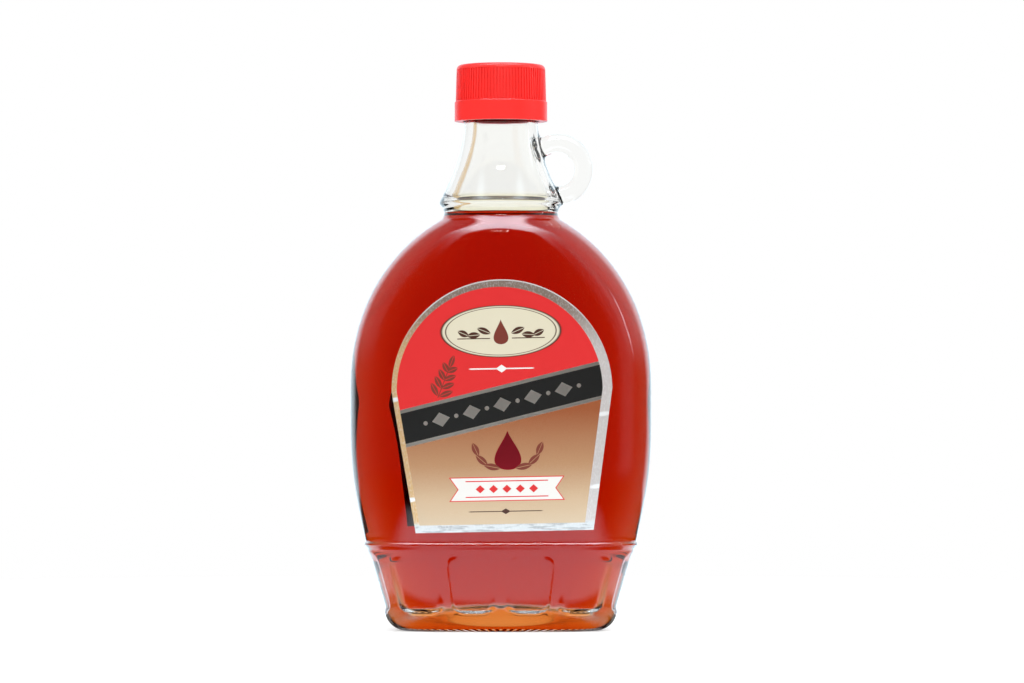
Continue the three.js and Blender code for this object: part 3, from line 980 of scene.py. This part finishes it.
motifs = {  # places on the flat label, across and up in mm
    "medallion": (0.0, 99.5),
    "medallionHalf": (20.0, 8.6),
    "rule": (0.0, 87.2),
    "sprig": (-20.5, 79.6),
    "ribbon": (1.0, 47.6),
    "ribbonHalf": (18.5, 3.7),
    "beadPitch": 4.4,
    "footRule": (0.5, 40.2),
    "backBand": 84.0,
    "backDiamond": (0.0, 93.5),
}
frontEmblem = {
    "place": (1.5, 60.5),
    "drop": (13.4, 4.5),
    "leaves": [((5.2, -5.6), 12), ((8.6, -3.4), 42), ((10.6, 0.2), 66)],
    "leafLong": 2.9,
    "leafWide": 1.1,
}
backEmblem = {
    "place": (0.0, 62.0),
    "drop": (15.0, 5.0),
    "leaves": [((6.4, -6.0), 12), ((10.2, -3.6), 42), ((12.4, 0.4), 66)],
    "leafLong": 3.2,
    "leafWide": 1.2,
}


def labelCoordinates(material, form, facing):
    # across and up on the flat label, in mm, before its tilt
    x, _, z = objectPlace(material)
    across = maths(material, "SUBTRACT", maths(material, "MULTIPLY", x, facing), form["shift"])
    up = maths(material, "SUBTRACT", z, form["archHigh"])
    flatX, flatUp = turned(material, across, up, (0.0, 0.0), form["tilt"])
    return flatX, maths(material, "ADD", flatUp, form["archHigh"])


def insideBorder(material, form, across, high, extra=0.0):
    # 1 on the printed field, 0 on the bare foil border
    up = maths(material, "SUBTRACT", high, form["archHigh"])
    over = maths(material, "MAXIMUM", up, 0.0)
    under = maths(material, "MAXIMUM", maths(material, "MULTIPLY", up, -1.0), 0.0)
    moved = maths(material, "ADD", across, form["printAside"])
    span = maths(material, "SQRT", maths(material, "ADD", square(material, moved), square(material, over)))
    taper = (form["radius"] - form["bottomWidth"] / 2) / (form["archHigh"] - form["bottom"])
    drawnIn = maths(material, "ADD", span, maths(material, "MULTIPLY", under, taper))
    side = maths(material, "SUBTRACT", form["radius"] - form["border"] - extra, drawnIn)
    foot = maths(material, "SUBTRACT", high, form["bottom"] + form["borderBottom"] + extra)
    return above(material, maths(material, "MINIMUM", side, foot))


def plainPaper():
    # the glued side
    material, shader = newMaterial("plainPaper")
    fibre = objectNoise(material, 700, 4.0)
    tone = colourMix(material, fibre, (0.50, 0.47, 0.42), (0.62, 0.60, 0.55))
    feed(material, shader.inputs["Base Color"], tone)
    shader.inputs["Roughness"].default_value = 0.8
    addBump(material, shader, fibre, 0.2, 0.0003)
    return material


def finishFoil(material, shader, colour, bare):
    # bare foil shines as metal and the ink over it is satin
    feed(material, shader.inputs["Base Color"], colour)
    feed(material, shader.inputs["Metallic"], bare)
    fine = objectNoise(material, 1500, 3.0, (1.0, 1.0, 0.5))
    feed(material, shader.inputs["Roughness"], spread(material, fine, 0.34, 0.48))
    buckle = objectNoise(material, 110, 2.0)
    height = maths(material, "ADD", buckle, maths(material, "MULTIPLY", fine, 0.12))
    addBump(material, shader, height, 0.3, 0.0006)


# painted reflection of the room on the bare foil border, with painted shade in its crinkles and painted
# highlights at its creases and along its cut edge
def paintedBorderReflection(material, form, across, high):
    tone = colourMix(material, above(material, across, 0.0, 18.0), foil["left"], foil["right"])
    tone = colourMix(material, above(material, high, *foil["crownFrom"]), tone, foil["crown"])
    # painted shade in the crinkles along the foot
    crinkleShade = above(material, objectNoise(material, 520, 2.0, (0.4, 1.0, 2.2)), 0.56, 0.1)
    foot = colourMix(material, maths(material, "MULTIPLY", crinkleShade, 0.6), foil["foot"], foil["crinkleShade"])
    tone = colourMix(material, below(material, high, *foil["footTo"]), tone, foot)
    grain = above(material, objectNoise(material, 1900, 3.0, (1.0, 1.0, 0.6)), 0.58, 0.14)
    pale = maths(material, "MULTIPLY", grain, 0.25)
    # painted glints where the foil is creased
    for spot in foil["creaseGlints"]:
        u, v = turned(material, across, high, spot, 8)
        pale = either(material, pale, below(material, ovalSize(material, u, v, 3.0, 0.9), 0.8, 0.4))
    # a painted highlight along the crown, where the cut edge catches the light
    up = maths(material, "SUBTRACT", high, form["archHigh"])
    span = ovalSize(material, across, up, form["radius"], form["radius"])
    cut = above(material, span, 1 - foil["cutEdgeHighlight"] / form["radius"], 0.003)
    cut = both(material, cut, above(material, up, 22.0, 10.0))
    pale = either(material, pale, maths(material, "MULTIPLY", cut, 0.7))
    return colourMix(material, pale, tone, (1.0, 1.0, 1.0))


def painter(material, colour):
    # the look so far, and a function that lays one ink, or bare foil, over it
    look = {"colour": colour, "bare": 0.0}

    def paint(mask, name, shine=0.0):
        tone = ink[name] if isinstance(name, str) else name
        look["colour"] = colourMix(material, mask, look["colour"], tone)
        left = maths(material, "MULTIPLY", look["bare"], maths(material, "SUBTRACT", 1.0, mask))
        look["bare"] = maths(material, "ADD", left, maths(material, "MULTIPLY", mask, shine))

    return look, paint


def emblem(material, across, high, form, paint):
    # a foil drop between two rows of leaves
    u, v = turned(material, across, high, form["place"])
    paint(drop(material, u, v, *form["drop"]), "foilRed", 1.0)
    twin = maths(material, "ABSOLUTE", u)
    for k, (spot, degrees) in enumerate(form["leaves"]):
        paint(leaf(material, twin, v, spot, degrees, form["leafLong"] - 0.2 * k, form["leafWide"]), "leaf")


def medallion(material, across, high, paint):
    u, v = turned(material, across, high, motifs["medallion"])
    wide, tall = motifs["medallionHalf"]
    size = ovalSize(material, u, v, wide, tall)
    paint(below(material, size), "brown")
    paint(below(material, size, 0.965), "cream")
    paint(hoop(material, size, 0.90, 0.92), "brown")
    mirrored = maths(material, "ABSOLUTE", u)
    paint(drop(material, u, v, 8.6, 2.5), "leaf")
    for k, (spot, degrees) in enumerate([((5.6, 0.2), 22), ((9.0, -1.2), -4), ((12.4, -0.6), 24)]):
        paint(leaf(material, mirrored, v, spot, degrees, 2.5 - 0.2 * k, 1.05), "brown")
    along = maths(material, "SUBTRACT", mirrored, 9.0)
    stem = boxSize(material, along, maths(material, "ADD", v, 2.3), 5.4, 0.16)
    paint(below(material, stem), "brown")


def bandOrnament(material, across, high, paint):
    degrees = math.degrees(math.atan(stripe["slope"]))
    u, v = turned(material, across, high, (0.0, stripe["high"]), degrees)
    fits = below(material, maths(material, "ABSOLUTE", u), stripe["reach"], 0.05)
    inCell = repeated(material, u, stripe["pitch"])
    large = below(material, diamondSize(material, inCell, v, 3.0, 2.4))
    inBetween = repeated(material, maths(material, "ADD", u, stripe["pitch"] / 2), stripe["pitch"])
    dots = below(material, ovalSize(material, inBetween, v, 0.7, 0.7), 1.0, 0.08)
    paint(both(material, fits, either(material, large, dots)), "silver", 1.0)


def frontPrint(form):
    material, shader = newMaterial("frontPrint")
    across, high = labelCoordinates(material, form, 1.0)
    line = maths(material, "ADD", maths(material, "MULTIPLY", across, stripe["slope"]), stripe["high"])
    offStripe = maths(material, "SUBTRACT", high, line)
    grain = objectNoise(material, 4200, 2.0)
    share = maths(material, "DIVIDE", maths(material, "SUBTRACT", high, form["bottom"]), 40.0)
    speckle = maths(material, "MULTIPLY", maths(material, "SUBTRACT", grain, 0.5), 0.16)
    lower = ramp(material, maths(material, "ADD", share, speckle), tan)
    fields = colourMix(material, above(material, offStripe), lower, ink["red"])
    look, paint = painter(material, fields)

    distance = maths(material, "ABSOLUTE", offStripe)
    paint(below(material, distance, stripe["half"] + stripe["piping"], 0.06), "silver", 1.0)
    paint(below(material, distance, stripe["half"], 0.06), "black")
    bandOrnament(material, across, high, paint)
    medallion(material, across, high, paint)

    u, v = turned(material, across, high, motifs["rule"])
    paint(below(material, boxSize(material, u, v, 10.5, 0.22), 1.0, 0.05), "white")
    paint(below(material, diamondSize(material, u, v, 1.9, 1.3), 1.0, 0.05), "white")

    # a sprig of plain oval leaves in the corner of the red field
    u, v = turned(material, across, high, motifs["sprig"], 68)
    paint(below(material, boxSize(material, maths(material, "SUBTRACT", u, 3.6), v, 5.4, 0.14)), "leaf")
    twin = maths(material, "ABSOLUTE", v)
    for k in range(4):
        paint(leaf(material, u, twin, (0.4 + 2.7 * k, 2.0 - 0.28 * k), 48, 2.6 - 0.2 * k, 0.95), "leaf")
    paint(leaf(material, u, v, (11.0, 0.0), 0, 2.3, 0.9), "leaf")

    emblem(material, across, high, frontEmblem, paint)

    # ribbon with swallow tails
    u, v = turned(material, across, high, motifs["ribbon"])
    wide, tall = motifs["ribbonHalf"]
    aside = maths(material, "ABSOLUTE", u)
    offLine = maths(material, "ABSOLUTE", v)
    notch = maths(material, "MULTIPLY", maths(material, "SUBTRACT", tall, offLine), 0.7)
    reach = maths(material, "ADD", aside, notch)
    for ends, sides, colour in ((0.35, 0.3, "red"), (0.0, 0.0, "white")):
        along = below(material, reach, wide + ends, 0.06)
        paint(both(material, along, below(material, offLine, tall + sides, 0.06)), colour)
    rules = boxSize(material, u, maths(material, "SUBTRACT", offLine, 2.6), 13.6, 0.18)
    paint(below(material, rules), "red")
    beads = diamondSize(material, repeated(material, u, motifs["beadPitch"]), v, 1.5, 1.35)
    inRow = below(material, aside, 11.0, 0.05)
    paint(both(material, inRow, below(material, beads, 1.0, 0.05)), "red")

    u, v = turned(material, across, high, motifs["footRule"])
    paint(below(material, boxSize(material, u, v, 12.0, 0.15), 1.0, 0.05), "brown")
    paint(below(material, diamondSize(material, u, v, 1.6, 0.95), 1.0, 0.05), "brown")

    # the bare foil border, coloured with its painted reflections and highlights
    border = maths(material, "SUBTRACT", 1.0, insideBorder(material, form, across, high))
    paint(border, paintedBorderReflection(material, form, across, high), foil["shine"])
    finishFoil(material, shader, look["colour"], look["bare"])
    return material


def backPrint(form):
    material, shader = newMaterial("backPrint")
    across, high = labelCoordinates(material, form, -1.0)
    look, paint = painter(material, ramp(material, objectNoise(material, 900, 3.0), paper))
    keyline = insideBorder(material, form, across, high, 1.5)
    inner = insideBorder(material, form, across, high, 1.8)
    paint(both(material, keyline, maths(material, "SUBTRACT", 1.0, inner)), "brown")
    paint(above(material, high, motifs["backBand"]), "red")
    offBand = maths(material, "ABSOLUTE", maths(material, "SUBTRACT", high, motifs["backBand"]))
    paint(below(material, offBand, 1.7, 0.06), "silver", 1.0)
    paint(below(material, offBand, 1.2, 0.06), "black")
    emblem(material, across, high, backEmblem, paint)
    u, v = turned(material, across, high, motifs["backDiamond"])
    paint(below(material, diamondSize(material, u, v, 5.0, 4.0), 1.0, 0.03), "cream")
    paint(below(material, boxSize(material, u, v, 14.0, 0.2), 1.0, 0.05), "cream")
    paint(maths(material, "SUBTRACT", 1.0, insideBorder(material, form, across, high)), "silver", 1.0)
    finishFoil(material, shader, look["colour"], look["bare"])
    return material


reverse = plainPaper()
frontLabel = makeLabel("frontLabel", label, frontPrint(label), reverse)
mount(frontLabel, "foil_paper", "front_label")
rearLabel = makeLabel("rearLabel", backLabel, backPrint(backLabel), reverse)
turnToBack(rearLabel)
mount(rearLabel, "foil_paper", "back_label")
print("labels:", len(frontLabel.data.polygons), "and", len(rearLabel.data.polygons), "faces")


# floor, light and camera

studio = {
    "cameraAway": 1.56,
    "cameraHigh": 0.0736,
    "cameraAside": 0.0037,
    "cameraTilt": 0.84,       # degrees up
    "lens": 164.0,
    "floorReach": 0.6,
    "floorFade": (0.33, 0.52),
    "floorGlow": 0.35,
    "floorShine": 2.0,        # how bright the pool is that the glass mirrors
    # painted shade: the mirrored pool is dark in this oval round the base
    "paintedShadeOval": (66, 36.5),   # half sizes of the dark oval round the base, in mm
    "paintedShadeEdge": (1.1, 0.1),
    "shineWide": (115, 25),   # where the pool ends to the sides and towards the camera
    "shineFar": (-200, 20),
    "tint": (0.74, 0.90, 1.0),         # of all that is mirrored
    "boxAway": 1.5,
    "boxAim": 0.1,            # the height that the lights point at
}
roomLight = {                 # what the glass mirrors; an edge is a place and its softness
    "diffuse": 0.4,
    "dark": 0.04,
    "behind": 1.5,
    "behindEdge": (0.76, 0.1),
    "arch": 0.8,
    "archSlab": (0.32, 0.48, 0.12),    # middle, half and softness, back from the flask
    "archLow": (0.14, 0.12),
    "archTurn": (0.0, 0.3),
    "archShares": (0.4, 0.85),         # on the left and on the right
    "roof": 12.0,
    "roofSlab": (-0.16, 0.26, 0.1),
    "roofLow": (0.5, 0.2),
    "roofSide": (0.5, 0.2),
    "strip": 9.0,
    "stripSlab": (0.1, 0.02, 0.02),
    "stripSide": (0.8, 0.06),
    "stripLow": (0.16, 0.08),
    "stripHigh": (0.48, 0.08),
    "wall": 0.35,
    "wallSlab": (-0.25, 0.25, 0.15),
    "wallSide": (0.7, 0.2),
}
boxes = {                     # degrees round from the camera's side, degrees up, width, height and watts
    "glintBox": (0, 46, 0.45, 0.05, 2.5),
    "key": (0, 32, 1.0, 0.6, 10),
    "fillLeft": (-75, 32, 1.0, 0.6, 9),
    "fillRight": (75, 32, 1.0, 0.6, 12),
    "fillBack": (180, 32, 1.0, 0.6, 6),
}


def rayKinds(tree):
    # rays mirrored by a surface, and rays that have come through one
    path = addNode(tree, "LightPath")
    through = path.outputs["Is Transmission Ray"]
    mirrored = maths(tree, "SUBTRACT", path.outputs["Is Glossy Ray"], through)
    return maths(tree, "MAXIMUM", mirrored, 0.0), through, path.outputs["Is Diffuse Ray"]


def makeFloor():
    deselect()
    bpy.ops.mesh.primitive_circle_add(vertices=128, radius=studio["floorReach"], fill_type="NGON")
    floor = named("studioFloor")
    material, shader = newMaterial("paleFloor")
    tones = [(0.3, (0.93, 0.93, 0.93)), (0.7, (0.95, 0.95, 0.95))]
    tone = ramp(material, objectNoise(material, 3.0), tones)
    feed(material, shader.inputs["Base Color"], tone)
    shader.inputs["Roughness"].default_value = 0.6
    shader.inputs["Specular IOR Level"].default_value = 0.0
    feed(material, shader.inputs["Emission Color"], tone)
    shader.inputs["Emission Strength"].default_value = studio["floorGlow"]
    # the glass sees plain white through itself, and mirrors a soft painted pool of light with painted shade
    # in an oval round the base
    mirrored, through, _ = rayKinds(material)
    x, y, _ = objectPlace(material)
    # painted shade round the base inside the painted pool of light
    off = above(material, ovalSize(material, x, y, *studio["paintedShadeOval"]), *studio["paintedShadeEdge"])
    wide = below(material, maths(material, "ABSOLUTE", x), *studio["shineWide"])
    pool = both(material, off, both(material, wide, above(material, y, *studio["shineFar"])))
    shine = maths(material, "MULTIPLY", pool, studio["floorShine"])
    glow = addNode(material, "Emission")
    feed(material, glow.inputs["Color"], colourMix(material, mirrored, (1.0, 1.0, 1.0), studio["tint"]))
    strength = maths(material, "ADD", maths(material, "MULTIPLY", mirrored, shine), through)
    feed(material, glow.inputs["Strength"], strength)
    lit = addNode(material, "MixShader")
    feed(material, lit.inputs[0], either(material, mirrored, through))
    feed(material, lit.inputs[1], shader.outputs[0])
    feed(material, lit.inputs[2], glow.outputs[0])
    start, end = studio["floorFade"]
    away = ovalSize(material, x, y, 1000.0, 1000.0)
    edge = addNode(material, "MixShader")
    feed(material, edge.inputs[0], above(material, away, (start + end) / 2, (end - start) / 2))
    feed(material, edge.inputs[1], lit.outputs[0])
    feed(material, edge.inputs[2], addNode(material, "BsdfTransparent").outputs[0])
    feed(material, material.node_tree.nodes["Material Output"].inputs["Surface"], edge.outputs[0])
    floor.data.materials.append(material)


def softbox(name, place, aim, wide, high, power):
    bpy.ops.object.light_add(type="AREA", location=place)
    light = bpy.context.object
    light.name = name
    light.data.shape = "RECTANGLE"
    light.data.size = wide
    light.data.size_y = high
    light.data.energy = power
    away = [a - p for a, p in zip(aim, place)]
    light.rotation_euler = (
        math.acos(-away[2] / math.sqrt(sum(d * d for d in away))),
        0,
        math.atan2(away[1], away[0]) - math.pi / 2,
    )
    return light


def makeWorld():
    # white for what is seen directly or through the glass, and a painted room for what is mirrored
    world = bpy.data.worlds.new("studioWorld")
    bpy.context.scene.world = world
    world.use_nodes = True
    background = world.node_tree.nodes["Background"]
    split = addNode(world, "SeparateXYZ")
    feed(world, split.inputs[0], addNode(world, "TexCoord").outputs["Generated"])
    x, y, z = split.outputs
    aside = maths(world, "ABSOLUTE", x)

    def slab(middle, half, soft):
        # all directions that point this far back, away from the camera
        return below(world, maths(world, "ABSOLUTE", maths(world, "SUBTRACT", y, middle)), half, soft)

    turn = above(world, x, *roomLight["archTurn"])
    arch = both(world, slab(*roomLight["archSlab"]), above(world, z, *roomLight["archLow"]))
    arch = both(world, arch, spread(world, turn, *roomLight["archShares"]))
    roof = both(world, slab(*roomLight["roofSlab"]), above(world, z, *roomLight["roofLow"]))
    roof = both(world, roof, below(world, aside, *roomLight["roofSide"]))
    strip = both(world, slab(*roomLight["stripSlab"]), above(world, x, *roomLight["stripSide"]))
    strip = both(world, strip, above(world, z, *roomLight["stripLow"]))
    strip = both(world, strip, below(world, z, *roomLight["stripHigh"]))
    shares = {
        "behind": above(world, y, *roomLight["behindEdge"]),
        "arch": arch,
        "roof": roof,
        "strip": strip,
        "wall": both(world, slab(*roomLight["wallSlab"]), above(world, x, *roomLight["wallSide"])),
    }
    mirror = roomLight["dark"]
    for name, share in shares.items():
        mirror = maths(world, "ADD", mirror, maths(world, "MULTIPLY", share, roomLight[name]))
    mirrored, _, diffuse = rayKinds(world)
    plain = maths(world, "SUBTRACT", 1.0, maths(world, "MULTIPLY", diffuse, 1.0 - roomLight["diffuse"]))
    more = maths(world, "MULTIPLY", mirrored, maths(world, "SUBTRACT", mirror, plain))
    feed(world, background.inputs["Strength"], maths(world, "ADD", plain, more))
    feed(world, background.inputs["Color"], colourMix(world, mirrored, (1.0, 1.0, 1.0), studio["tint"]))


def makeCamera():
    bpy.ops.object.camera_add(
        location=(studio["cameraAside"], -studio["cameraAway"], studio["cameraHigh"]),
        rotation=(math.radians(90 + studio["cameraTilt"]), 0, 0),
    )
    camera = bpy.context.object
    camera.data.lens = studio["lens"]
    camera.data.sensor_width = 36.0
    camera.data.clip_start = 0.01
    bpy.context.scene.camera = camera


def boxAround(name, azimuth, rise, wide, high, power):
    turn, up = math.radians(azimuth), math.radians(rise)
    away = studio["boxAway"]
    middle = (0, 0, studio["boxAim"])
    place = (
        away * math.sin(turn) * math.cos(up),
        -away * math.cos(turn) * math.cos(up),
        middle[2] + away * math.sin(up),
    )
    return softbox(name, place, middle, wide, high, power)


makeFloor()
makeWorld()
for name, settings in boxes.items():
    box = boxAround(name, *settings)
    box.visible_transmission = False
    # the glint is only mirrored, and the others only light what isn't clear
    if name == "glintBox":
        box.visible_diffuse = False
    else:
        box.visible_glossy = False
makeCamera()

scene = bpy.context.scene
scene.view_settings.view_transform = "Standard"
scene.cycles.max_bounces = 24
scene.cycles.transmission_bounces = 24
scene.cycles.transparent_max_bounces = 16
print("studio ready")
